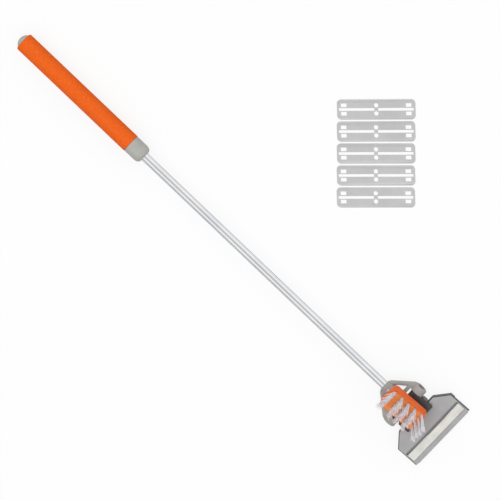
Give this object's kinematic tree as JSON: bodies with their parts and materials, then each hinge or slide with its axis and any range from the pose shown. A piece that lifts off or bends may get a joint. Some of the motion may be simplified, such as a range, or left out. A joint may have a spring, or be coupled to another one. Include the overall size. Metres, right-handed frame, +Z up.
{
  "type": "long-handled blade scraper with brush",
  "caption": "Long-handled scraper with a foam grip and a tilting head that holds a clamped blade and a stiff brush, with loose spare blades beside it.",
  "frame": {"origin": "on the tube's axis at the middle of the foam grip", "axes": "+X along the tube towards the head, +Y along the head's pivot, +Z up, away from the surface that the tool lies on"},
  "size_m": [0.736, 0.3414, 0.0674],
  "materials": {
    "tube_aluminium": "drawn and brushed along its length",
    "grip_foam": "closed-cell foam, matt",
    "core_plastic": "moulded, matt",
    "pin_steel": "plain",
    "grey_plastic": "moulded, fine grain",
    "rivet_aluminium": "pressed",
    "bolt_steel": "zinc plated",
    "washer_fibre": "pressed fibre",
    "bush_brass": "turned",
    "hub_plastic": "moulded, satin",
    "holder_paint": "die-cast, silver-grey paint",
    "bar_aluminium": "satin",
    "blade_steel": "rolled strip, ground edges",
    "keeper_steel": "zinc plated",
    "block_plastic": "moulded, half gloss",
    "bristle_nylon": "clear nylon filament"
  },
  "bodies": {
    "root": {"handle_tube": "tube_aluminium", "grip_sleeve": "grip_foam", "grip_core": "core_plastic", "grip_pin": "pin_steel", "grip_collar": "grey_plastic", "grip_end_cap": "grey_plastic", "yoke": "grey_plastic", "yoke_rivet": "rivet_aluminium", "pivot_bolt": "bolt_steel", "pivot_nut": "bolt_steel", "friction_washer_left": "washer_fibre", "friction_washer_right": "washer_fibre", "spare_blade_1": "blade_steel", "spare_blade_2": "blade_steel", "spare_blade_3": "blade_steel", "spare_blade_4": "blade_steel", "spare_blade_5": "blade_steel"},
    "head": {"pivot_bush": "bush_brass", "hub": "hub_plastic", "holder_body": "holder_paint", "clamp_bar": "bar_aluminium", "blade": "blade_steel", "blade_keeper": "keeper_steel", "keeper_screws": "bolt_steel", "hub_screws": "bolt_steel", "brush_screws": "bolt_steel", "brush_block": "block_plastic", "bristle_row_1": "bristle_nylon", "bristle_row_2": "bristle_nylon", "bristle_row_3": "bristle_nylon", "bristle_row_4": "bristle_nylon", "bristle_row_5": "bristle_nylon"}
  },
  "joints": [
    {"name": "head_tilt", "type": "hinge", "parent": "root", "child": "head", "pos_m": [0.5715, 0, 0], "axis": [0, 1, 0], "range_deg": [-8, 75]}
  ]
}
